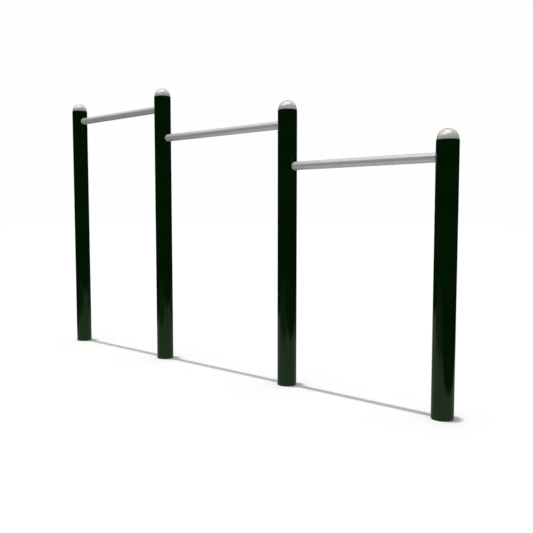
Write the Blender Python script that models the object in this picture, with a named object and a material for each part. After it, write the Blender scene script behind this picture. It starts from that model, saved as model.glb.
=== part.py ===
"""Triple pull-up bars: four domed steel posts in a row, joined by three horizontal bars.

Units are metres and +Z is up. The ground is z = 0 and the row is centred on x = 0. It steps
down towards +X, and every screw is driven from +Y, the rear. Each post slides over a socket
that is bolted to the ground inside it, and each bar end is bolted to its post from the rear.
"""

import math

import bmesh
import bpy
from mathutils import Matrix, Vector

MM = 0.001
GAP = 0.3 * MM  # clearance that touching pieces keep
SMOOTH_ANGLE = math.radians(35)

# The row: post centres, tube tops and bar centres. Bar k runs from post k to post k + 1.
POST_X = (-1.96, -0.70, 0.70, 1.96)
POST_TOP = (2.25, 2.25, 2.00, 1.70)
BARS = (("high", 2.15), ("mid", 1.90), ("low", 1.60))
BAR_ENDS = (("left", 0, 1), ("right", 1, -1))  # name, which of its posts, way into the bar

# Post: 139.7 x 4 mm tube.
POST_RADIUS = 69.85 * MM
POST_WALL = 4.0 * MM
POST_BORE = POST_RADIUS - POST_WALL
POST_SEGMENTS = 40

# Bar: 60.3 x 3 mm tube that runs past the post's centre, with a solid plug in each end.
BAR_RADIUS = 30.15 * MM
BAR_WALL = 3.0 * MM
BAR_BORE = BAR_RADIUS - BAR_WALL
BAR_PAST_CENTRE = 45.0 * MM
BAR_SEGMENTS = 24  # the plug, the grommet and its hole share these facets
PLUG_RADIUS = BAR_BORE - 0.35 * MM
PLUG_LENGTH = 80.0 * MM
PLUG_INSET = 2.0 * MM
PLUG_DRILL_PAST_AXIS = 18.0 * MM

# Rubber grommet between the bar and the hole in the post.
BAR_HOLE_RADIUS = 33.0 * MM
SEAL_BORE = BAR_RADIUS + GAP
SEAL_SLEEVE = BAR_HOLE_RADIUS - GAP
SEAL_LIP = 35.0 * MM
SEAL_LIP_THICKNESS = 1.6 * MM
SEAL_LIP_CHAMFER = 0.6 * MM
SEAL_PAST_BORE = 3.0 * MM

# Cap: a hollow dome with a spigot that fits the post, on a flat gasket.
DOME_RADIUS = 67.0 * MM
DOME_BAND = 1.5 * MM  # straight edge under the half sphere
DOME_WALL = 4.0 * MM
DOME_EDGE = 0.8 * MM
DOME_STEPS = 5
SPIGOT_RADIUS = POST_BORE - 0.55 * MM
SPIGOT_WALL = 3.5 * MM
SPIGOT_DEPTH = 35.0 * MM
GASKET_THICKNESS = 1.5 * MM
GASKET_RADIUS = 66.8 * MM
CAP_SEGMENTS = 24
CAP_SCREW_DROP = 18.0 * MM  # below the tube's top

# Ground socket: a disc with anchor holes, and the stub tube that the post slides over.
SOCKET_RADIUS = POST_BORE - 0.45 * MM
SOCKET_WALL = 8.0 * MM
SOCKET_HEIGHT = 250.0 * MM
SOCKET_FLOOR = 16.0 * MM
SOCKET_CHAMFER = 2.0 * MM
DRAIN_RADIUS = 10.0 * MM
ANCHOR_SPACING = 54.0 * MM  # a square of four, along X and along Y
ANCHOR_HOLE_RADIUS = 7.0 * MM
LOCK_SCREW_Z = 150.0 * MM

# Screws, all button heads, and what goes under and behind the bar bolts.
M12 = {"thread": 6.0 * MM, "head": 10.5 * MM, "height": 6.6 * MM, "key": 4.62 * MM}
M6 = {"thread": 3.0 * MM, "head": 5.25 * MM, "height": 3.3 * MM, "key": 2.31 * MM}
M12_HOLE = 6.5 * MM
M6_HOLE = 3.3 * MM
HEAD_FLAT = 0.5  # of the head's radius
HEAD_EDGE = 0.15  # of the head's height
KEY_DEPTH = 0.6  # of the head's height
HEAD_STEPS = 3
SCREW_SEGMENTS = 12
BAR_BOLT_LENGTH = 90.0 * MM
LOCK_SCREW_LENGTH = 18.0 * MM
CAP_SCREW_LENGTH = 12.0 * MM
WASHER_RADIUS = 15.0 * MM
WASHER_THICKNESS = 4.0 * MM
WASHER_CHAMFER = 0.8 * MM
WASHER_SEGMENTS = 16
SPACER_RADIUS = 10.0 * MM

UP = (0, 0, 1)
REAR = (0, 1, 0)
TURN_TO_REAR = (-math.pi / 2, 0, 0)  # takes +Z to +Y
TURN_TO_ROW = (0, math.pi / 2, 0)  # takes +Z to +X


def clear_scene():
    for old in list(bpy.data.objects):
        bpy.data.objects.remove(old)


def make_material(name, color, roughness, metallic):
    material = bpy.data.materials.new(name)
    material.use_nodes = True
    material.diffuse_color = (*color, 1.0)
    shader = material.node_tree.nodes["Principled BSDF"]
    shader.inputs["Base Color"].default_value = (*color, 1.0)
    shader.inputs["Roughness"].default_value = roughness
    shader.inputs["Metallic"].default_value = metallic
    return material


def add_object(name, bm, material, location, rotation=(0, 0, 0)):
    """Turn a bmesh into a smooth-shaded object under the assembly's empty."""
    bmesh.ops.recalc_face_normals(bm, faces=bm.faces)
    mesh = bpy.data.meshes.new(name)
    bm.to_mesh(mesh)
    bm.free()
    mesh.shade_smooth()
    mesh.set_sharp_from_angle(angle=SMOOTH_ANGLE)
    mesh.materials.append(material)
    item = bpy.data.objects.new(name, mesh)
    bpy.context.collection.objects.link(item)
    item.location = location
    item.rotation_euler = rotation
    item.parent = bpy.data.objects["assembly"]
    return item


def turned(profile, segments):
    """Turn (radius, height) points about Z. A profile that starts off the axis makes a ring."""
    bm = bmesh.new()
    verts = [bm.verts.new((radius, 0, height)) for radius, height in profile]
    pairs = list(zip(verts, verts[1:]))
    if profile[0][0] > 0:
        pairs.append((verts[-1], verts[0]))
    edges = [bm.edges.new(pair) for pair in pairs]
    bmesh.ops.spin(bm, geom=verts + edges, axis=UP, angle=math.tau, steps=segments)
    bmesh.ops.remove_doubles(bm, verts=bm.verts, dist=0.001 * MM)
    return bm


def skinned(loops):
    """Join closed loops of points, the last one to the first, into a ring-shaped body."""
    bm = bmesh.new()
    rows = [[bm.verts.new(point) for point in loop] for loop in loops]
    for row, next_row in zip(rows, rows[1:] + rows[:1]):
        for k in range(len(row)):
            bm.faces.new((row[k - 1], row[k], next_row[k], next_row[k - 1]))
    return bm


def drill(item, holes):
    """Cut (start, direction, depth, radius, sides) holes, given in the item's own frame."""
    bm = bmesh.new()
    for start, direction, depth, radius, sides in holes:
        way = Vector(direction)
        middle = Matrix.Translation(Vector(start) + way * depth / 2)
        aim = Vector(UP).rotation_difference(way).to_matrix().to_4x4()
        bmesh.ops.create_cone(
            bm,
            cap_ends=True,
            segments=sides,
            radius1=radius,
            radius2=radius,
            depth=depth,
            matrix=middle @ aim,
        )
    mesh = bpy.data.meshes.new(item.name + "_holes")
    bm.to_mesh(mesh)
    bm.free()
    cutter = bpy.data.objects.new(mesh.name, mesh)
    bpy.context.collection.objects.link(cutter)
    cutter.parent = item
    cutter.hide_render = True
    cutter.display_type = "WIRE"
    item.modifiers.new("holes", "BOOLEAN").object = cutter


def bars_at_post(index):
    """The bars that this post carries, as (height, way from the post into the bar)."""
    carried = []
    for k, (_, height) in enumerate(BARS):
        for _, which_post, way in BAR_ENDS:
            if k + which_post == index:
                carried.append((height, way))
    return carried


def add_post(index, material):
    top = POST_TOP[index]
    profile = [(POST_RADIUS, 0), (POST_RADIUS, top), (POST_BORE, top), (POST_BORE, 0)]
    name = f"post_{index + 1}"
    item = add_object(name, turned(profile, POST_SEGMENTS), material, (POST_X[index], 0, 0))
    inside = POST_BORE / 2
    reach = POST_RADIUS
    holes = [((0, inside, LOCK_SCREW_Z), REAR, reach, M12_HOLE, SCREW_SEGMENTS)]
    holes.append(((0, inside, top - CAP_SCREW_DROP), REAR, reach, M6_HOLE, SCREW_SEGMENTS))
    for height, way in bars_at_post(index):
        side_start = (way * inside, 0, height)
        holes.append((side_start, (way, 0, 0), reach, BAR_HOLE_RADIUS, BAR_SEGMENTS))
        holes.append(((0, inside, height), REAR, reach, M12_HOLE, SCREW_SEGMENTS))
    drill(item, holes)


def arc(radius, centre_height, start, end, steps):
    """Points on an arc about the axis, with angles measured up from the horizontal."""
    angles = [start + (end - start) * k / steps for k in range(steps + 1)]
    return [(radius * math.cos(a), centre_height + radius * math.sin(a)) for a in angles]


def add_cap(index, metal, rubber):
    x = POST_X[index]
    gasket_bottom = POST_TOP[index] + GAP
    dome_base = gasket_bottom + GASKET_THICKNESS + GAP
    spigot_end = POST_TOP[index] - SPIGOT_DEPTH
    spigot_bore = SPIGOT_RADIUS - SPIGOT_WALL
    dome_bore = DOME_RADIUS - DOME_WALL

    # Down the outside from the top, round the spigot's end and back up the inside.
    centre = dome_base + DOME_BAND
    profile = arc(DOME_RADIUS, centre, math.pi / 2, 0, DOME_STEPS)
    profile[0] = (0, profile[0][1])
    profile.append((DOME_RADIUS, dome_base + DOME_EDGE))
    profile += [(DOME_RADIUS - DOME_EDGE, dome_base), (SPIGOT_RADIUS, dome_base)]
    profile += [(SPIGOT_RADIUS, spigot_end), (spigot_bore, spigot_end)]
    inner_start = math.acos(spigot_bore / dome_bore)
    profile += arc(dome_bore, centre, inner_start, math.pi / 2, DOME_STEPS - 2)
    profile[-1] = (0, profile[-1][1])
    name = f"post_cap_{index + 1}"
    item = add_object(name, turned(profile, CAP_SEGMENTS), metal, (x, 0, 0))
    screw_z = POST_TOP[index] - CAP_SCREW_DROP
    hole = ((0, spigot_bore / 2, screw_z), REAR, SPIGOT_RADIUS, M6_HOLE, SCREW_SEGMENTS)
    drill(item, [hole])

    gasket_top = gasket_bottom + GASKET_THICKNESS
    gasket_bore = SPIGOT_RADIUS + GAP
    ring = [(GASKET_RADIUS, gasket_bottom), (GASKET_RADIUS, gasket_top)]
    ring += [(gasket_bore, gasket_top), (gasket_bore, gasket_bottom)]
    add_object(f"cap_gasket_{index + 1}", turned(ring, CAP_SEGMENTS), rubber, (x, 0, 0))


def add_screw(name, size, length, seat, material):
    """Button-head screw driven towards -Y, with the underside of its head at the seat."""
    head, height, thread = size["head"], size["height"], size["thread"]
    flat = head * HEAD_FLAT
    edge = height * HEAD_EDGE
    profile = [(0, height)]
    for k in range(HEAD_STEPS + 1):
        angle = math.pi / 2 * k / HEAD_STEPS
        radius = flat + (head - flat) * math.sin(angle)
        profile.append((radius, edge + (height - edge) * math.cos(angle)))
    tip = thread * 0.8
    profile += [(head, 0), (thread, 0), (thread, -length + thread - tip), (tip, -length)]
    profile.append((0, -length))
    item = add_object(name, turned(profile, SCREW_SEGMENTS), material, seat, TURN_TO_REAR)
    key_depth = height * KEY_DEPTH
    key_start = (0, 0, height - key_depth)
    drill(item, [(key_start, UP, height, size["key"], 6)])


def circle(radius, sides):
    """Points (across, up) of a circle about the origin."""
    angles = [math.tau * k / sides for k in range(sides)]
    return [(radius * math.cos(a), radius * math.sin(a)) for a in angles]


def on_tube(across, tube_radius):
    """Distance from a tube's axis plane to its surface, at this distance across."""
    return math.sqrt(tube_radius**2 - across**2)


def add_washer(name, location, material):
    """Round washer whose underside follows the post. Its hole runs along Y."""
    top = POST_RADIUS + WASHER_THICKNESS
    under = POST_RADIUS + GAP
    rims = [(M12_HOLE, None), (WASHER_RADIUS, None), (WASHER_RADIUS, top - WASHER_CHAMFER)]
    rims += [(WASHER_RADIUS - WASHER_CHAMFER, top), (M12_HOLE, top)]
    loops = []
    for radius, y in rims:
        ring = circle(radius, WASHER_SEGMENTS)
        loops.append([(x, on_tube(x, under) if y is None else y, z) for x, z in ring])
    add_object(name, skinned(loops), material, location)


def add_seal(name, location, way, material):
    """Grommet round a bar, with a lip that lies on the post. The bar leaves along way * X."""
    surface = POST_RADIUS + GAP
    face = surface + SEAL_LIP_THICKNESS
    rims = [(SEAL_BORE, POST_BORE - SEAL_PAST_BORE), (SEAL_SLEEVE, POST_BORE - SEAL_PAST_BORE)]
    rims += [(SEAL_SLEEVE, surface), (SEAL_LIP, surface), (SEAL_LIP, face - SEAL_LIP_CHAMFER)]
    rims += [(SEAL_LIP - SEAL_LIP_CHAMFER, face), (SEAL_BORE, face)]
    loops = []
    for radius, tube in rims:
        ring = circle(radius, BAR_SEGMENTS)
        loops.append([(way * on_tube(y, tube), y, z) for y, z in ring])
    add_object(name, skinned(loops), material, location)


def add_spacer(name, location, material):
    """Sleeve that keeps the bolt from pulling the bar and the post's wall together."""
    start = BAR_RADIUS + GAP
    end = on_tube(SPACER_RADIUS, POST_BORE) - GAP
    profile = [(SPACER_RADIUS, start), (SPACER_RADIUS, end), (M12_HOLE, end), (M12_HOLE, start)]
    add_object(name, turned(profile, SCREW_SEGMENTS), material, location, TURN_TO_REAR)


def add_bar(index, metal):
    name, height = BARS[index]
    left, right = POST_X[index], POST_X[index + 1]
    half = (right - left) / 2
    end = half + BAR_PAST_CENTRE
    profile = [(BAR_RADIUS, -end), (BAR_RADIUS, end), (BAR_BORE, end), (BAR_BORE, -end)]
    middle = ((left + right) / 2, 0, height)
    bm = turned(profile, BAR_SEGMENTS)
    item = add_object(f"bar_{name}", bm, metal, middle, TURN_TO_ROW)
    rear_hole = (REAR, BAR_RADIUS, M12_HOLE, SCREW_SEGMENTS)
    drill(item, [((0, BAR_BORE / 2, z), *rear_hole) for z in (-half, half)])


def add_plug(name, post_centre, way, material):
    """Solid plug inside a bar's end, drilled from the rear for the bolt at the post's centre."""
    start = -BAR_PAST_CENTRE + PLUG_INSET
    ends = (way * start, way * (start + PLUG_LENGTH))
    low, high = min(ends), max(ends)
    profile = [(0, low), (PLUG_RADIUS, low), (PLUG_RADIUS, high), (0, high)]
    bm = turned(profile, BAR_SEGMENTS)
    item = add_object(name, bm, material, post_centre, TURN_TO_ROW)
    depth = PLUG_DRILL_PAST_AXIS + BAR_RADIUS
    drill(item, [((0, -PLUG_DRILL_PAST_AXIS, 0), REAR, depth, M12_HOLE, SCREW_SEGMENTS)])


def add_bar_end(bar_index, end, materials):
    """Plug, seal, spacer, washer and bolt where one end of a bar meets its post."""
    bar_name, height = BARS[bar_index]
    end_name, which_post, way = end
    x = POST_X[bar_index + which_post]
    prefix = f"bar_{bar_name}_"
    centre = (x, 0, height)
    add_plug(prefix + "plug_" + end_name, centre, way, materials["zinc_steel"])
    add_seal(prefix + "seal_" + end_name, centre, way, materials["rubber"])
    add_spacer(prefix + "spacer_" + end_name, centre, materials["zinc_steel"])
    add_washer(prefix + "washer_" + end_name, centre, materials["stainless"])
    seat = (x, POST_RADIUS + WASHER_THICKNESS + GAP, height)
    add_screw(prefix + "bolt_" + end_name, M12, BAR_BOLT_LENGTH, seat, materials["stainless"])


def add_socket(index, metal):
    bore = SOCKET_RADIUS - SOCKET_WALL
    profile = [(DRAIN_RADIUS, 0), (SOCKET_RADIUS, 0)]
    profile += [(SOCKET_RADIUS, SOCKET_HEIGHT - SOCKET_CHAMFER)]
    profile += [(SOCKET_RADIUS - SOCKET_CHAMFER, SOCKET_HEIGHT), (bore, SOCKET_HEIGHT)]
    profile += [(bore, SOCKET_FLOOR), (DRAIN_RADIUS, SOCKET_FLOOR)]
    name = f"ground_socket_{index + 1}"
    item = add_object(name, turned(profile, POST_SEGMENTS), metal, (POST_X[index], 0, 0))
    half = ANCHOR_SPACING / 2
    below = -SOCKET_FLOOR / 2
    corners = [(x, y, below) for x in (-half, half) for y in (-half, half)]
    depth = SOCKET_FLOOR * 2
    holes = [(corner, UP, depth, ANCHOR_HOLE_RADIUS, SCREW_SEGMENTS) for corner in corners]
    holes.append(((0, bore / 2, LOCK_SCREW_Z), REAR, bore, M12_HOLE, SCREW_SEGMENTS))
    drill(item, holes)


def build():
    clear_scene()
    assembly = bpy.data.objects.new("assembly", None)
    bpy.context.collection.objects.link(assembly)
    materials = {
        "post_paint": make_material("post_paint", (0.004, 0.014, 0.004), 0.35, 0.0),
        "bar_steel": make_material("bar_steel", (0.30, 0.31, 0.32), 0.45, 1.0),
        "cap_aluminium": make_material("cap_aluminium", (0.55, 0.56, 0.58), 0.3, 1.0),
        "zinc_steel": make_material("zinc_steel", (0.45, 0.46, 0.47), 0.5, 1.0),
        "stainless": make_material("stainless", (0.60, 0.60, 0.61), 0.25, 1.0),
        "rubber": make_material("rubber", (0.012, 0.013, 0.013), 0.8, 0.0),
    }
    for index in range(len(POST_X)):
        add_post(index, materials["post_paint"])
        add_cap(index, materials["cap_aluminium"], materials["rubber"])
        seat = (POST_X[index], POST_RADIUS + GAP, POST_TOP[index] - CAP_SCREW_DROP)
        name = f"cap_screw_{index + 1}"
        add_screw(name, M6, CAP_SCREW_LENGTH, seat, materials["stainless"])
        add_socket(index, materials["zinc_steel"])
        seat = (POST_X[index], POST_RADIUS + GAP, LOCK_SCREW_Z)
        name = f"lock_screw_{index + 1}"
        add_screw(name, M12, LOCK_SCREW_LENGTH, seat, materials["stainless"])
    for index in range(len(BARS)):
        add_bar(index, materials["bar_steel"])
        for end in BAR_ENDS:
            add_bar_end(index, end, materials)


build()
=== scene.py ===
"""Looks for the triple pull-up bars: fine meshes, procedural materials, studio and camera.

Units are metres in the row's own frame: the ground is z = 0, +X runs along the row towards
the lowest bay, and every screw is driven from +Y, the rear. Places come from the CAD boxes.
Visible parts are rebuilt here with round edges; the hidden ones keep their CAD meshes.
"""

import math

import bmesh
import bpy
from mathutils import Matrix, Vector


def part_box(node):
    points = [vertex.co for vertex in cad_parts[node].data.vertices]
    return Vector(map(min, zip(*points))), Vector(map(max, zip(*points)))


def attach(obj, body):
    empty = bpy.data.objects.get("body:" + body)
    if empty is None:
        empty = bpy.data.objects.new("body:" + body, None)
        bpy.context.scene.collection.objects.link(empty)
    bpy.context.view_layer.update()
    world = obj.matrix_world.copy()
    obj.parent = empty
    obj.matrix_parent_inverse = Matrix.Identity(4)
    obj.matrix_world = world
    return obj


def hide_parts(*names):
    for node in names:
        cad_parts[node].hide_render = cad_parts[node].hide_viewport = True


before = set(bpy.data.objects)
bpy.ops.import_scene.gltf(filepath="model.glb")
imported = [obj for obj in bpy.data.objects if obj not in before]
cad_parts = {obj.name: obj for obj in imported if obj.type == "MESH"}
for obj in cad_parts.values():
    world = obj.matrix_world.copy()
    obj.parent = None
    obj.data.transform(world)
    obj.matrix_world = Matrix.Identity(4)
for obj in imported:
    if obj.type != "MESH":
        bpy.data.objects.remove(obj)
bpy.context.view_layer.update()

MM = 0.001
GAP = 0.3 * MM  # clearance between touching pieces, as in the CAD model
SHARP_ANGLE = math.radians(40)
FILLET_STEPS = 4
WELD = 0.005 * MM  # corners closer than this are one corner
ROUND_WALL = 0.995  # cosine of how far a round wall's face may lean from facing its axis
DRILL_START = 0.6  # share of a bore's radius at which a drill starts, so it cuts one wall only

POSTS = (1, 2, 3, 4)
BARS = (("high", 1, 2), ("mid", 2, 3), ("low", 3, 4))  # name, left post, right post

# Walls, bores and edges that the CAD boxes don't give. A RIM is an edge's radius.
POST_WALL = 4.0 * MM
POST_RIM = 0.8 * MM
POST_SIDES = 144
BAR_WALL = 3.0 * MM
BAR_RIM = 0.6 * MM
BAR_SIDES = 112
BAR_HOLE_RADIUS = 33.0 * MM
BAND_PAST_HOLE = 12.0 * MM
CAP_SIDES = 128
DOME_STEPS = 40
DOME_BAND = 1.5 * MM
DOME_WALL = 4.0 * MM
DOME_RIM = 0.6 * MM
SPIGOT_RADIUS = 65.3 * MM
SPIGOT_WALL = 3.5 * MM
SPIGOT_RIM = 1.0 * MM
CAP_SCREW_DROP = 18.0 * MM
LOCK_SCREW_Z = 150.0 * MM
GASKET_BORE = 65.6 * MM
GASKET_OUTER_RIM = 0.5 * MM
GASKET_INNER_RIM = 0.2 * MM
SEAL_SIDES = 96
SEAL_BORE_CLEARANCE = 0.3 * MM
SEAL_SLEEVE = 32.7 * MM
SEAL_LIP = 35.0 * MM
SEAL_LIP_THICKNESS = 1.6 * MM
SEAL_PAST_BORE = 3.0 * MM
SEAL_BORE_RIM = 0.3 * MM
SEAL_SLEEVE_RIM = 0.6 * MM
SEAL_SEAT_RIM = 0.2 * MM
SEAL_LIP_RIM = 1.1 * MM
SEAL_FACE_RIM = 0.7 * MM
WASHER_SIDES = 72
WASHER_RADIUS = 15.0 * MM
WASHER_THICKNESS = 4.0 * MM
WASHER_FLAT = 2.0 * MM  # depth under the top where its plain round edge ends
WASHER_OUTER_RIM = 1.0 * MM
WASHER_INNER_RIM = 0.5 * MM
SCREW_SIDES = 48
SCREW_DOME_STEPS = 12
SCREW_RIM = 0.3 * MM
SCREW_FLAT = 0.48  # radius of the head's flat top, as a share of the head's radius
SCREW_EDGE = 0.15  # height of the head's straight edge, as a share of the head's height
SCREW_TIP = 0.2  # chamfer of the tip, as a share of the thread's radius
HEXAGON = 6
KEY_DEPTH = 0.6  # as a share of the head's height
KEY_SINK = 0.12  # depth of the key's countersink, as a share of the key's radius
KEY_SINK_BOTTOM = 0.9  # radii of the countersink's cutter, as shares of the key's radius
KEY_SINK_TOP = 1.14
M12 = {"thread": 6.0 * MM, "head": 10.5 * MM, "height": 6.6 * MM, "key": 4.62 * MM}
M6 = {"thread": 3.0 * MM, "head": 5.25 * MM, "height": 3.3 * MM, "key": 2.31 * MM}
M12_HOLE = 6.5 * MM
M6_HOLE = 3.3 * MM
BAR_BOLT_LENGTH = 90.0 * MM
LOCK_SCREW_LENGTH = 18.0 * MM
CAP_SCREW_LENGTH = 12.0 * MM

TURN_TO_REAR = Matrix.Rotation(-math.pi / 2, 4, "X")  # takes +Z to +Y
TURN_TO_ROW = Matrix.Rotation(math.pi / 2, 4, "Y")  # takes +Z to +X


# ---------------------------------------------------------------- node helpers


def add_node(tree, kind, inputs=None, **settings):
    """Add a node, set its properties, then set or link its inputs."""
    node = tree.nodes.new(kind)
    for key, value in settings.items():
        setattr(node, key, value)
    for key, value in (inputs or {}).items():
        if isinstance(value, bpy.types.NodeSocket):
            tree.links.new(value, node.inputs[key])
        else:
            node.inputs[key].default_value = value
    return node


def math_node(tree, operation, *values):
    """One Math node. The values are numbers or sockets."""
    node = add_node(tree, "ShaderNodeMath", dict(enumerate(values)), operation=operation)
    return node.outputs[0]


def ramp(tree, value, low, high, to_low=0.0, to_high=1.0):
    """Smooth change from to_low at low to to_high at high."""
    inputs = {"Value": value, "From Min": low, "From Max": high}
    inputs.update({"To Min": to_low, "To Max": to_high})
    node = add_node(tree, "ShaderNodeMapRange", inputs, interpolation_type="SMOOTHSTEP")
    return node.outputs["Result"]


def noise(tree, vector, scale, detail=3.0, stretch=None):
    """Noise value of about 0.3 to 0.7. stretch squeezes the pattern along each axis."""
    if stretch:
        mapping = add_node(tree, "ShaderNodeMapping", {"Vector": vector, "Scale": stretch})
        vector = mapping.outputs["Vector"]
    inputs = {"Vector": vector, "Scale": scale, "Detail": detail}
    return add_node(tree, "ShaderNodeTexNoise", inputs).outputs["Fac"]


def bump(tree, height, distance):
    """Normals of a relief: height from 0 to 1, times the distance in metres."""
    inputs = {"Height": height, "Distance": distance}
    return add_node(tree, "ShaderNodeBump", inputs).outputs["Normal"]


def mix_color(tree, factor, first, second):
    """Blend two colours, given as (r, g, b) or sockets."""
    node = add_node(tree, "ShaderNodeMix", data_type="RGBA")
    for index, value in ((0, factor), (6, first), (7, second)):
        if isinstance(value, bpy.types.NodeSocket):
            tree.links.new(value, node.inputs[index])
        elif index == 0:
            node.inputs[index].default_value = value
        else:
            node.inputs[index].default_value = (*value, 1.0)
    return node.outputs[2]


def new_material(name, metallic):
    """A material with a Principled shader, and the place in the row frame as its vector."""
    material = bpy.data.materials.new(name)
    material.use_nodes = True
    tree = material.node_tree
    shader = tree.nodes["Principled BSDF"]
    shader.inputs["Metallic"].default_value = metallic
    place = add_node(tree, "ShaderNodeTexCoord").outputs["Object"]
    return material, tree, shader, place


def finish_shader(tree, shader, color, roughness, normal):
    """Link what varies over the surface to the shader."""
    tree.links.new(color, shader.inputs["Base Color"])
    tree.links.new(roughness, shader.inputs["Roughness"])
    tree.links.new(normal, shader.inputs["Normal"])


# ---------------------------------------------------------------- materials


# Linear colours, then roughness as (lowest, highest).
PAINT_DARK = (0.0018, 0.0155, 0.0018)
PAINT_LIGHT = (0.0025, 0.0190, 0.0024)
PAINT_ROUGHNESS = (0.05, 0.11)
PAINT_SPECULAR = 0.80
PAINT_TINT = (0.56, 1.0, 0.52, 1.0)
PEEL_SCALE = 260.0  # orange peel cells per metre, about
PEEL_DEPTH = 0.06 * MM
DUST_COLOR = (0.05, 0.055, 0.04)
DUST_TOP = 0.10  # metres above the ground
DUST_COVER = 0.25
DUST_ROUGHNESS = 1.2  # roughness that a full cover would add
BAR_DARK = (0.94, 0.945, 0.95)
BAR_LIGHT = (0.985, 0.985, 0.98)
BAR_ROUGHNESS = (0.26, 0.32)
CAP_DARK = (0.90, 0.90, 0.89)
CAP_LIGHT = (0.965, 0.965, 0.955)
CAP_ROUGHNESS = (0.11, 0.22)
BOX_MIDDLE = 0.5  # a piece's box runs from 0 to 1 along each axis
DOME_SINE = 1.98  # makes a share of the box a sine that stays under 1 at the dome's edge
RING_STRETCH = (120.0, 1.2, 1.0)  # down the dome, round it, unused
RING_DEPTH = 0.05 * MM
RING_SHARE = 0.6  # of the shade; the rest is cloud
ZINC_DARK = (0.50, 0.52, 0.54)
ZINC_LIGHT = (0.64, 0.65, 0.66)
ZINC_ROUGHNESS = (0.36, 0.52)
STAINLESS_DARK = (0.66, 0.66, 0.65)
STAINLESS_LIGHT = (0.80, 0.80, 0.79)
STAINLESS_ROUGHNESS = (0.20, 0.34)
RUBBER_BLACK = (0.006, 0.0065, 0.0065)
RUBBER_BLOOM = (0.014, 0.015, 0.015)
RUBBER_ROUGHNESS = (0.62, 0.80)


def make_post_paint():
    """Gloss powder coat in a very dark green: orange peel, faint haze, dust at the foot."""
    material, tree, shader, place = new_material("post_powder_coat", metallic=0.0)
    cloud = ramp(tree, noise(tree, place, 5.0), 0.35, 0.65)
    color = mix_color(tree, cloud, PAINT_DARK, PAINT_LIGHT)
    height = add_node(tree, "ShaderNodeSeparateXYZ", {"Vector": place}).outputs["Z"]
    foot = ramp(tree, height, 0.0, DUST_TOP, 1.0, 0.0)
    specks = ramp(tree, noise(tree, place, 160.0, 5.0), 0.48, 0.70)
    dust = math_node(tree, "MULTIPLY", math_node(tree, "MULTIPLY", foot, specks), DUST_COVER)
    color = mix_color(tree, dust, color, DUST_COLOR)
    streaks = noise(tree, place, 1.0, 4.0, stretch=(60.0, 60.0, 2.5))
    haze = ramp(tree, streaks, 0.35, 0.70, *PAINT_ROUGHNESS)
    dulled = math_node(tree, "MULTIPLY", dust, DUST_ROUGHNESS)
    roughness = math_node(tree, "ADD", haze, dulled)
    peel = noise(tree, place, PEEL_SCALE, 2.0)
    shader.inputs["Specular IOR Level"].default_value = PAINT_SPECULAR
    shader.inputs["Specular Tint"].default_value = PAINT_TINT
    finish_shader(tree, shader, color, roughness, bump(tree, peel, PEEL_DEPTH))
    return material


def make_bar_steel():
    """Satin steel tube, brushed along its length, with faint handling marks."""
    material, tree, shader, place = new_material("satin_bar_steel", metallic=0.44)
    brushed = noise(tree, place, 1.0, 3.0, stretch=(14.0, 1600.0, 1600.0))
    cloud = noise(tree, place, 9.0, 4.0)
    shade = math_node(tree, "ADD", math_node(tree, "MULTIPLY", brushed, 0.6), cloud)
    tone = ramp(tree, shade, 0.55, 1.05)
    color = mix_color(tree, tone, BAR_DARK, BAR_LIGHT)
    roughness = ramp(tree, shade, 0.5, 1.1, *BAR_ROUGHNESS)
    finish_shader(tree, shader, color, roughness, bump(tree, brushed, 0.01 * MM))
    return material


def polishing_rings(tree):
    """Fine rings round a piece's own upright axis, evenly spaced over a dome."""
    within = add_node(tree, "ShaderNodeTexCoord").outputs["Generated"]
    split = add_node(tree, "ShaderNodeSeparateXYZ", {"Vector": within})
    aside = math_node(tree, "SUBTRACT", split.outputs["X"], BOX_MIDDLE)
    behind = math_node(tree, "SUBTRACT", split.outputs["Y"], BOX_MIDDLE)
    squared = math_node(tree, "MULTIPLY", behind, behind)
    squared = math_node(tree, "MULTIPLY_ADD", aside, aside, squared)
    out = math_node(tree, "MULTIPLY", math_node(tree, "SQRT", squared), DOME_SINE)
    slope = math_node(tree, "ARCSINE", out)
    turn = math_node(tree, "ABSOLUTE", math_node(tree, "ARCTAN2", behind, aside))
    spin = add_node(tree, "ShaderNodeCombineXYZ", {"X": slope, "Y": turn}).outputs["Vector"]
    return noise(tree, spin, 1.0, 4.0, stretch=RING_STRETCH)


def make_cap_aluminium():
    """Polished cast aluminium: faint rings from the polishing, and duller patches."""
    material, tree, shader, place = new_material("polished_cap_aluminium", metallic=0.34)
    rings = polishing_rings(tree)
    cloud = math_node(tree, "MULTIPLY", noise(tree, place, 28.0, 4.0), 1.0 - RING_SHARE)
    shade = math_node(tree, "MULTIPLY_ADD", rings, RING_SHARE, cloud)
    tone = ramp(tree, shade, 0.42, 0.60)
    color = mix_color(tree, tone, CAP_DARK, CAP_LIGHT)
    roughness = ramp(tree, shade, 0.42, 0.60, *CAP_ROUGHNESS)
    finish_shader(tree, shader, color, roughness, bump(tree, rings, RING_DEPTH))
    return material


def make_zinc_steel():
    """Zinc-plated steel with soft crystal patches."""
    material, tree, shader, place = new_material("zinc_plated_steel", metallic=0.55)
    inputs = {"Vector": place, "Scale": 160.0}
    crystals = add_node(tree, "ShaderNodeTexVoronoi", inputs).outputs["Color"]
    value = add_node(tree, "ShaderNodeSeparateColor", {"Color": crystals}).outputs["Red"]
    color = mix_color(tree, value, ZINC_DARK, ZINC_LIGHT)
    grain = noise(tree, place, 500.0)
    roughness = ramp(tree, value, 0.0, 1.0, *ZINC_ROUGHNESS)
    finish_shader(tree, shader, color, roughness, bump(tree, grain, 0.02 * MM))
    return material


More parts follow.
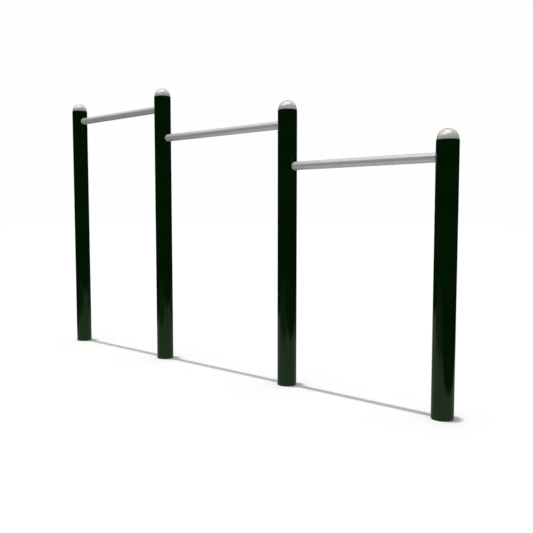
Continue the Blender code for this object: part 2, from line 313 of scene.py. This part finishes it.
def make_stainless():
    """Stainless fasteners with fine machining marks."""
    material, tree, shader, place = new_material("stainless_fastener", metallic=0.55)
    marks = noise(tree, place, 1.0, 3.0, stretch=(900.0, 120.0, 900.0))
    color = mix_color(tree, ramp(tree, marks, 0.3, 0.7), STAINLESS_DARK, STAINLESS_LIGHT)
    roughness = ramp(tree, marks, 0.3, 0.7, *STAINLESS_ROUGHNESS)
    finish_shader(tree, shader, color, roughness, bump(tree, marks, 0.01 * MM))
    return material


def make_rubber():
    """Black rubber with a fine matt grain and a little bloom."""
    material, tree, shader, place = new_material("black_rubber", metallic=0.0)
    bloom = ramp(tree, noise(tree, place, 60.0, 4.0), 0.40, 0.75)
    color = mix_color(tree, bloom, RUBBER_BLACK, RUBBER_BLOOM)
    grain = noise(tree, place, 1500.0)
    roughness = ramp(tree, bloom, 0.0, 1.0, *RUBBER_ROUGHNESS)
    finish_shader(tree, shader, color, roughness, bump(tree, grain, 0.03 * MM))
    return material


MATERIALS = {
    "post_paint": make_post_paint(),
    "bar_steel": make_bar_steel(),
    "cap_aluminium": make_cap_aluminium(),
    "zinc_steel": make_zinc_steel(),
    "stainless": make_stainless(),
    "rubber": make_rubber(),
}


# ---------------------------------------------------------------- mesh helpers


def filleted(corners, closed):
    """Round the corners of a profile of (u, v, radius). An open profile keeps its ends."""
    count = len(corners)
    points = []
    for k, (u, v, radius) in enumerate(corners):
        corner = Vector((u, v))
        if radius == 0 or (not closed and k in (0, count - 1)):
            points.append(corner)
            continue
        before = (Vector(corners[k - 1][:2]) - corner).normalized()
        after = (Vector(corners[(k + 1) % count][:2]) - corner).normalized()
        half = before.angle(after) / 2
        centre = corner + (before + after).normalized() * radius / math.sin(half)
        start = corner + before * radius / math.tan(half) - centre
        end = corner + after * radius / math.tan(half) - centre
        for step in range(FILLET_STEPS + 1):
            blend = start.lerp(end, step / FILLET_STEPS).normalized()
            points.append(centre + blend * radius)
    return [(p.x, p.y) for p in points]


def around(radius, sides):
    """Points of a circle about the origin."""
    angles = [math.tau * k / sides for k in range(sides)]
    return [(radius * math.cos(a), radius * math.sin(a)) for a in angles]


def turned(profile, sides, closed):
    """Turn (radius, height) points about Z into a closed body."""
    bm = bmesh.new()
    rings = []
    for radius, height in profile:
        if radius == 0:
            rings.append([bm.verts.new((0, 0, height))])
            continue
        rings.append([bm.verts.new((x, y, height)) for x, y in around(radius, sides)])
    following = rings[1:] + rings[:1] if closed else rings[1:]
    for ring, other in zip(rings, following):
        for k in range(sides):
            if len(other) == 1:
                corners = [ring[k - 1], ring[k], other[0]]
            elif len(ring) == 1:
                corners = [ring[0], other[k], other[k - 1]]
            else:
                corners = [ring[k - 1], ring[k], other[k], other[k - 1]]
            bm.faces.new(corners)
    return bm


def skinned(loops):
    """Join closed loops of points, the last one to the first, into a ring-shaped body."""
    bm = bmesh.new()
    rows = [[bm.verts.new(point) for point in loop] for loop in loops]
    for row, next_row in zip(rows, rows[1:] + rows[:1]):
        for k in range(len(row)):
            bm.faces.new((row[k - 1], row[k], next_row[k], next_row[k - 1]))
    return bm


def link_mesh(name, bm):
    """Make an object in the scene from a closed body, with its faces turned outwards."""
    bmesh.ops.recalc_face_normals(bm, faces=bm.faces)
    mesh = bpy.data.meshes.new(name)
    bm.to_mesh(mesh)
    bm.free()
    item = bpy.data.objects.new(name, mesh)
    bpy.context.scene.collection.objects.link(item)
    return item


def drill(item, holes):
    """Cut holes of (start, direction, depth, first radius, last radius, sides), then weld."""
    bm = bmesh.new()
    for start, direction, depth, first, last, sides in holes:
        way = Vector(direction)
        middle = Matrix.Translation(Vector(start) + way * depth / 2)
        aim = Vector((0, 0, 1)).rotation_difference(way).to_matrix().to_4x4()
        bmesh.ops.create_cone(
            bm,
            cap_ends=True,
            segments=sides,
            radius1=first,
            radius2=last,
            depth=depth,
            matrix=middle @ aim,
        )
    cutter = link_mesh(item.name + "_holes", bm)
    modifier = item.modifiers.new("holes", "BOOLEAN")
    modifier.object = cutter
    modifier.solver = "EXACT"
    view = bpy.context.evaluated_depsgraph_get()
    cut = bpy.data.meshes.new_from_object(item.evaluated_get(view))
    bm = bmesh.new()
    bm.from_mesh(cut)
    bmesh.ops.remove_doubles(bm, verts=bm.verts, dist=WELD)
    bmesh.ops.dissolve_degenerate(bm, edges=bm.edges, dist=WELD)
    bm.to_mesh(cut)
    bm.free()
    item.modifiers.clear()
    old = item.data
    item.data = cut
    bpy.data.meshes.remove(old)
    bpy.data.objects.remove(cutter)


def smooth(item, axis_point=None, axis=None):
    """Smooth shading. Round walls about the axis get exact normals, so holes don't show."""
    mesh = item.data
    mesh.shade_smooth()
    mesh.set_sharp_from_angle(angle=SHARP_ANGLE)
    if axis is None:
        item.modifiers.new("even_normals", "WEIGHTED_NORMAL").keep_sharp = True
        return
    way = Vector(axis)
    normals = [Vector(n.vector) for n in mesh.corner_normals]
    for face in mesh.polygons:
        for loop in face.loop_indices:
            out = mesh.vertices[mesh.loops[loop].vertex_index].co - Vector(axis_point)
            out = (out - way * out.dot(way)).normalized()
            lined_up = out.dot(face.normal)
            if abs(lined_up) > ROUND_WALL:
                normals[loop] = out if lined_up > 0 else -out
    mesh.normals_split_custom_set(normals)


def place_piece(item, node, slot, matrix=None):
    """Put the piece where the CAD node is, give it its finish and let it ride."""
    if matrix is not None:
        item.data.transform(matrix)
    item.data.materials.clear()
    item.data.materials.append(MATERIALS[slot])
    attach(item, "root")
    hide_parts(node)


# ---------------------------------------------------------------- pieces


def box_facts(node):
    """Lowest corner, highest corner and centre of a CAD node."""
    low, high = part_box(node)
    return low, high, (low + high) / 2


def seal_nodes(post):
    """Bars that reach this post: (bar name, end name, way from the post into the bar)."""
    found = []
    for name, left, right in BARS:
        if left == post:
            found.append((name, "left", 1))
        if right == post:
            found.append((name, "right", -1))
    return found


def make_post(post):
    """Tube with round rims, and holes for its bars, bolts and screws in the walls they pass."""
    node = f"post_{post}"
    low, high, centre = box_facts(node)
    radius = (high.x - low.x) / 2
    bore = radius - POST_WALL
    levels = []
    holes = []
    inside = bore * DRILL_START
    reach = radius
    rear = (0, 1, 0)
    screws = [(LOCK_SCREW_Z, M12_HOLE), (high.z - CAP_SCREW_DROP, M6_HOLE)]
    for name, _, way in seal_nodes(post):
        z = box_facts(f"bar_{name}")[2].z
        start = (centre.x + way * inside, 0, z)
        holes.append((start, (way, 0, 0), reach, BAR_HOLE_RADIUS, BAR_HOLE_RADIUS, SEAL_SIDES))
        screws.append((z, M12_HOLE))
        levels += [z - BAR_HOLE_RADIUS - BAND_PAST_HOLE, z + BAR_HOLE_RADIUS + BAND_PAST_HOLE]
    for z, hole in screws:
        holes.append(((centre.x, inside, z), rear, reach, hole, hole, SCREW_SIDES))
    levels += [LOCK_SCREW_Z - BAND_PAST_HOLE, LOCK_SCREW_Z + BAND_PAST_HOLE]
    levels = sorted(z for z in levels if low.z < z < high.z - POST_RIM)
    profile = [(radius, low.z, POST_RIM)]
    profile += [(radius, z, 0) for z in levels]
    profile += [(radius, high.z, POST_RIM), (bore, high.z, POST_RIM)]
    profile += [(bore, z, 0) for z in reversed(levels)]
    profile += [(bore, low.z, POST_RIM)]
    item = link_mesh(node + "_fine", turned(filleted(profile, True), POST_SIDES, True))
    item.data.transform(Matrix.Translation((centre.x, 0, 0)))
    drill(item, holes)
    smooth(item, (centre.x, 0, 0), (0, 0, 1))
    place_piece(item, node, "post_paint")


def arc(radius, centre_height, start, end, steps):
    """Points on an arc about the axis, with angles measured up from the horizontal."""
    angles = [start + (end - start) * k / steps for k in range(steps + 1)]
    return [(radius * math.cos(a), centre_height + radius * math.sin(a), 0) for a in angles]


def make_cap(post):
    """Hollow dome with a spigot inside the tube, drilled for its screw."""
    node = f"post_cap_{post}"
    low, high, centre = box_facts(node)
    radius = (high.x - low.x) / 2
    tube_top = box_facts(f"post_{post}")[1].z
    dome_centre = high.z - radius
    dome_base = dome_centre - DOME_BAND
    bore = SPIGOT_RADIUS - SPIGOT_WALL
    inner = radius - DOME_WALL
    profile = arc(radius, dome_centre, math.pi / 2, 0, DOME_STEPS)
    profile[0] = (0, high.z, 0)
    profile += [(radius, dome_base, DOME_RIM), (SPIGOT_RADIUS, dome_base, 0)]
    profile += [(SPIGOT_RADIUS, low.z, SPIGOT_RIM), (bore, low.z, SPIGOT_RIM)]
    profile += arc(inner, dome_centre, math.acos(bore / inner), math.pi / 2, DOME_STEPS // 2)
    profile[-1] = (0, profile[-1][1], 0)
    item = link_mesh(node + "_fine", turned(filleted(profile, False), CAP_SIDES, False))
    start = (0, bore * DRILL_START, tube_top - CAP_SCREW_DROP)
    drill(item, [(start, (0, 1, 0), SPIGOT_RADIUS, M6_HOLE, M6_HOLE, SCREW_SIDES)])
    smooth(item)
    place_piece(item, node, "cap_aluminium", Matrix.Translation((centre.x, 0, 0)))


def make_gasket(post):
    """Flat rubber ring between cap and tube."""
    node = f"cap_gasket_{post}"
    low, high, centre = box_facts(node)
    radius = (high.x - low.x) / 2
    profile = [(radius, low.z, GASKET_OUTER_RIM), (radius, high.z, GASKET_OUTER_RIM)]
    profile += [(GASKET_BORE, high.z, GASKET_INNER_RIM)]
    profile += [(GASKET_BORE, low.z, GASKET_INNER_RIM)]
    item = link_mesh(node + "_fine", turned(filleted(profile, True), CAP_SIDES, True))
    smooth(item)
    place_piece(item, node, "rubber", Matrix.Translation((centre.x, 0, 0)))


def make_bar(name):
    """Tube with round rims along X, drilled at the rear for its two bolts."""
    node = f"bar_{name}"
    low, high, centre = box_facts(node)
    radius = (high.z - low.z) / 2
    bore = radius - BAR_WALL
    bolts = [box_facts(f"{node}_bolt_{end}")[2].x for end in ("left", "right")]
    levels = [x + step for x in bolts for step in (-BAND_PAST_HOLE, BAND_PAST_HOLE)]
    profile = [(radius, low.x, BAR_RIM)]
    profile += [(radius, x, 0) for x in levels]
    profile += [(radius, high.x, BAR_RIM), (bore, high.x, BAR_RIM)]
    profile += [(bore, x, 0) for x in reversed(levels)]
    profile += [(bore, low.x, BAR_RIM)]
    item = link_mesh(node + "_fine", turned(filleted(profile, True), BAR_SIDES, True))
    item.data.transform(Matrix.Translation((0, 0, centre.z)) @ TURN_TO_ROW)
    holes = []
    for x in bolts:
        start = (x, bore / 2, centre.z)
        holes.append((start, (0, 1, 0), radius, M12_HOLE, M12_HOLE, SCREW_SIDES))
    drill(item, holes)
    smooth(item, (0, 0, centre.z), (1, 0, 0))
    place_piece(item, node, "bar_steel")


def on_tube(across, tube_radius):
    """Distance from a tube's axis plane to its surface, at this distance across."""
    return math.sqrt(tube_radius**2 - across**2)


def make_seal(name, end, post, way):
    """Grommet round the bar, with a round-edged lip that follows the post."""
    node = f"bar_{name}_seal_{end}"
    post_low, post_high, post_centre = box_facts(f"post_{post}")
    bar_low, bar_high, bar_centre = box_facts(f"bar_{name}")
    post_radius = (post_high.x - post_low.x) / 2
    bore = (bar_high.z - bar_low.z) / 2 + SEAL_BORE_CLEARANCE
    back = post_radius - POST_WALL - SEAL_PAST_BORE
    seat = post_radius + GAP
    face = seat + SEAL_LIP_THICKNESS
    profile = [(bore, back, SEAL_BORE_RIM), (SEAL_SLEEVE, back, SEAL_SLEEVE_RIM)]
    profile += [(SEAL_SLEEVE, seat, 0), (SEAL_LIP, seat, SEAL_SEAT_RIM)]
    profile += [(SEAL_LIP, face, SEAL_LIP_RIM), (bore, face, SEAL_FACE_RIM)]
    loops = []
    for radius, tube in filleted(profile, True):
        ring = around(radius, SEAL_SIDES)
        loops.append([(way * on_tube(y, tube), y, z) for y, z in ring])
    item = link_mesh(node + "_fine", skinned(loops))
    smooth(item)
    here = Matrix.Translation((post_centre.x, 0, bar_centre.z))
    place_piece(item, node, "rubber", here)


def make_washer(name, end, post):
    """Saddle washer: its underside follows the post, its top is flat."""
    node = f"bar_{name}_washer_{end}"
    post_low, post_high, post_centre = box_facts(f"post_{post}")
    post_radius = (post_high.x - post_low.x) / 2
    top = post_radius + WASHER_THICKNESS
    under = post_radius + GAP
    corners = [(M12_HOLE, top - WASHER_FLAT, 0), (WASHER_RADIUS, top - WASHER_FLAT, 0)]
    corners += [(WASHER_RADIUS, top, WASHER_OUTER_RIM), (M12_HOLE, top, WASHER_INNER_RIM)]
    upper = filleted(corners, True)[2:]
    rims = [(M12_HOLE, None), (WASHER_RADIUS, None)] + upper
    loops = []
    for radius, y in rims:
        ring = around(radius, WASHER_SIDES)
        loops.append([(x, on_tube(x, under) if y is None else y, z) for x, z in ring])
    item = link_mesh(node + "_fine", skinned(loops))
    smooth(item)
    z = box_facts(f"bar_{name}")[2].z
    place_piece(item, node, "stainless", Matrix.Translation((post_centre.x, 0, z)))


def make_screw(node, size, length, seat):
    """Button-head screw driven towards -Y: domed head, hexagon key with a countersunk edge."""
    head, height, thread, key = size["head"], size["height"], size["thread"], size["key"]
    flat = head * SCREW_FLAT
    edge = height * SCREW_EDGE
    corners = [(0, height, 0)]
    for k in range(SCREW_DOME_STEPS + 1):
        angle = math.pi / 2 * k / SCREW_DOME_STEPS
        radius = flat + (head - flat) * math.sin(angle)
        corners.append((radius, edge + (height - edge) * math.cos(angle), 0))
    corners += [(head, 0, SCREW_RIM), (thread, 0, SCREW_RIM)]
    tip = thread * SCREW_TIP
    corners += [(thread, tip - length, 0), (thread - tip, -length, 0), (0, -length, 0)]
    item = link_mesh(node + "_fine", turned(filleted(corners, False), SCREW_SIDES, False))
    up = (0, 0, 1)
    drill(item, [((0, 0, height * (1 - KEY_DEPTH)), up, height, key, key, HEXAGON)])
    sink = key * KEY_SINK
    narrow, wide = key * KEY_SINK_BOTTOM, key * KEY_SINK_TOP
    drill(item, [((0, 0, height - sink), up, sink * 2, narrow, wide, SCREW_SIDES)])
    smooth(item)
    place_piece(item, node, "stainless", Matrix.Translation(seat) @ TURN_TO_REAR)


def make_screws():
    """Cap screws, lock screws and bar bolts, all driven from the rear."""
    for post in POSTS:
        low, high, centre = box_facts(f"post_{post}")
        seat_y = (high.x - low.x) / 2 + GAP
        seat = (centre.x, seat_y, high.z - CAP_SCREW_DROP)
        make_screw(f"cap_screw_{post}", M6, CAP_SCREW_LENGTH, seat)
        seat = (centre.x, seat_y, LOCK_SCREW_Z)
        make_screw(f"lock_screw_{post}", M12, LOCK_SCREW_LENGTH, seat)
        for name, end, _ in seal_nodes(post):
            z = box_facts(f"bar_{name}")[2].z
            seat = (centre.x, seat_y + WASHER_THICKNESS, z)
            make_screw(f"bar_{name}_bolt_{end}", M12, BAR_BOLT_LENGTH, seat)


def finish_hidden_nodes():
    """Plugs, spacers and ground sockets keep their CAD meshes and get the zinc finish."""
    for name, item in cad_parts.items():
        if "plug" in name or "spacer" in name or "ground_socket" in name:
            item.data.materials.clear()
            item.data.materials.append(MATERIALS["zinc_steel"])


for post in POSTS:
    make_post(post)
    make_cap(post)
    make_gasket(post)
    for bar_name, bar_end, into_bar in seal_nodes(post):
        make_seal(bar_name, bar_end, post, into_bar)
        make_washer(bar_name, bar_end, post)
for bar_name, _, _ in BARS:
    make_bar(bar_name)
make_screws()
finish_hidden_nodes()


# ---------------------------------------------------------------- studio


BACKGROUND = 0.992  # what the camera sees behind the floor
AMBIENT_ABOVE = 0.465  # soft light on matt surfaces, from above and from below
AMBIENT_BELOW = 0.43
HORIZON = (-0.2, 0.2)  # heights of direction between which one turns into the other
SOFTBOXES = (  # (azimuth from +X, elevation, inner and outer radius in degrees, radiance)
    (-82.0, 84.5, 20.5, 29.0, 1.35),
    (-129.0, 49.0, 5.0, 11.0, 1.85),
    (-106.0, 55.5, 7.0, 16.0, 1.25),
    (-152.0, 38.0, 4.0, 15.0, 0.45),
    (173.0, 50.0, 13.0, 36.0, 0.54),
    (140.0, 68.0, 6.0, 20.0, 0.52),
    (90.0, 52.0, 10.0, 32.0, 0.50),
)
SUN_STRENGTH = 1.78
SUN_ANGLE = math.radians(1.5)
SUN_LEAN = (0.028, 0.011)  # how far its light drifts along X and Y per metre of fall
FLOOR_COLOR = (0.995, 0.995, 0.99)
FLOOR_COLOR_LIGHT = tuple(c * 1.01 for c in FLOOR_COLOR)
FLOOR_HALF = 60.0
LIT_FLOOR_Z = -1.0 * MM  # just under the floor, which glossy surfaces don't see
MIRRORED_FLOOR = 0.32  # radiance that glossy surfaces see under the row
MIRRORED_X = (2.50, 2.80)  # it is full up to the first distance and gone at the second
MIRRORED_Y = (1.1, 2.9)
MIRRORED_TAIL = 0.23  # share of it that reaches further out across the row
MIRRORED_TAIL_Y = (3.5, 10.0)


def make_world():
    """White for the camera, even light for matt surfaces, soft boxes for glossy ones."""
    world = bpy.data.worlds.new("studio")
    bpy.context.scene.world = world
    world.use_nodes = True
    world.cycles.sampling_method = "NONE"
    tree = world.node_tree
    background = tree.nodes["Background"]
    direction = add_node(tree, "ShaderNodeTexCoord").outputs["Generated"]
    height = add_node(tree, "ShaderNodeSeparateXYZ", {"Vector": direction}).outputs["Z"]
    ambient = ramp(tree, height, *HORIZON, AMBIENT_BELOW, AMBIENT_ABOVE)
    shine = None
    for azimuth, elevation, inner, outer, radiance in SOFTBOXES:
        turn, rise = math.radians(azimuth), math.radians(elevation)
        aim = (math.cos(turn) * math.cos(rise), math.sin(turn) * math.cos(rise), math.sin(rise))
        inputs = {0: direction, 1: aim}
        toward = add_node(tree, "ShaderNodeVectorMath", inputs, operation="DOT_PRODUCT")
        limits = (math.cos(math.radians(outer)), math.cos(math.radians(inner)))
        box = ramp(tree, toward.outputs["Value"], *limits, 0.0, radiance)
        shine = box if shine is None else math_node(tree, "MAXIMUM", shine, box)
    path = add_node(tree, "ShaderNodeLightPath").outputs
    inputs = {0: path["Is Glossy Ray"], 2: ambient, 3: shine}
    lit = add_node(tree, "ShaderNodeMix", inputs).outputs[0]
    inputs = {0: path["Is Camera Ray"], 2: lit, 3: BACKGROUND}
    seen = add_node(tree, "ShaderNodeMix", inputs).outputs[0]
    tree.links.new(seen, background.inputs["Strength"])
    background.inputs["Color"].default_value = (1.0, 1.0, 1.0, 1.0)


def make_sun():
    """Overhead lamp that casts the thin shadow line. Glossy surfaces don't show it."""
    light = bpy.data.lights.new("overhead_light", "SUN")
    light.energy = SUN_STRENGTH
    light.angle = SUN_ANGLE
    item = bpy.data.objects.new("overhead_light", light)
    bpy.context.scene.collection.objects.link(item)
    fall = Vector((SUN_LEAN[0], SUN_LEAN[1], -1.0))
    item.rotation_mode = "QUATERNION"
    item.rotation_quaternion = fall.to_track_quat("-Z", "Y")
    item.visible_glossy = False


def add_sheet(name, z, material):
    """Level square of the studio at this height."""
    bm = bmesh.new()
    corners = [(-FLOOR_HALF, -FLOOR_HALF), (FLOOR_HALF, -FLOOR_HALF)]
    corners += [(FLOOR_HALF, FLOOR_HALF), (-FLOOR_HALF, FLOOR_HALF)]
    bm.faces.new([bm.verts.new((x, y, z)) for x, y in corners])
    mesh = bpy.data.meshes.new(name)
    bm.to_mesh(mesh)
    bm.free()
    mesh.materials.append(material)
    item = bpy.data.objects.new(name, mesh)
    bpy.context.scene.collection.objects.link(item)
    return item


def bare_material(name):
    """A material with no shader yet: its tree, its place vector and its surface socket."""
    material = bpy.data.materials.new(name)
    material.use_nodes = True
    tree = material.node_tree
    tree.nodes.clear()
    place = add_node(tree, "ShaderNodeTexCoord").outputs["Object"]
    surface = add_node(tree, "ShaderNodeOutputMaterial").inputs["Surface"]
    return material, tree, place, surface


def make_floor():
    """The pale floor that the camera sees."""
    material, tree, place, surface = bare_material("pale_floor")
    grain = noise(tree, place, 40.0)
    shade = mix_color(tree, grain, FLOOR_COLOR, FLOOR_COLOR_LIGHT)
    diffuse = add_node(tree, "ShaderNodeBsdfDiffuse", {"Color": shade})
    tree.links.new(diffuse.outputs[0], surface)
    floor = add_sheet("studio_floor", 0.0, material)
    floor.visible_diffuse = False
    floor.visible_glossy = False


def make_lit_floor():
    """The soft lit patch of floor that only glossy surfaces see."""
    material, tree, place, surface = bare_material("lit_floor_patch")
    split = add_node(tree, "ShaderNodeSeparateXYZ", {"Vector": place})
    along = math_node(tree, "ABSOLUTE", split.outputs["X"])
    across = math_node(tree, "ABSOLUTE", split.outputs["Y"])
    lengthwise = ramp(tree, along, *MIRRORED_X, MIRRORED_FLOOR, 0.0)
    near = ramp(tree, across, *MIRRORED_Y, 1.0, 0.0)
    far = ramp(tree, across, *MIRRORED_TAIL_Y, MIRRORED_TAIL, 0.0)
    crosswise = math_node(tree, "MAXIMUM", near, far)
    strength = math_node(tree, "MULTIPLY", lengthwise, crosswise)
    glow = add_node(tree, "ShaderNodeEmission", {"Strength": strength})
    tree.links.new(glow.outputs[0], surface)
    material.cycles.emission_sampling = "NONE"
    patch = add_sheet("lit_floor", LIT_FLOOR_Z, material)
    patch.visible_camera = False
    patch.visible_diffuse = False
    patch.visible_shadow = False


CAMERA_PLACE = (3.9266, -3.7916, 1.2644)
CAMERA_YAW = math.radians(42.130)  # from +Y towards -X
CAMERA_PITCH = math.radians(4.479)  # down
CAMERA_LENS = 46.126  # mm
SENSOR_WIDTH = 36.0  # mm


def make_camera():
    """The main view: from the lowest bay's front corner, a little above half height."""
    camera = bpy.data.cameras.new("camera")
    camera.lens = CAMERA_LENS
    camera.sensor_width = SENSOR_WIDTH
    camera.dof.use_dof = False
    item = bpy.data.objects.new("camera", camera)
    bpy.context.scene.collection.objects.link(item)
    item.location = CAMERA_PLACE
    item.rotation_euler = (math.pi / 2 - CAMERA_PITCH, 0.0, CAMERA_YAW)
    bpy.context.scene.camera = item


make_world()
make_sun()
make_floor()
make_lit_floor()
make_camera()
bpy.context.scene.view_settings.view_transform = "Standard"
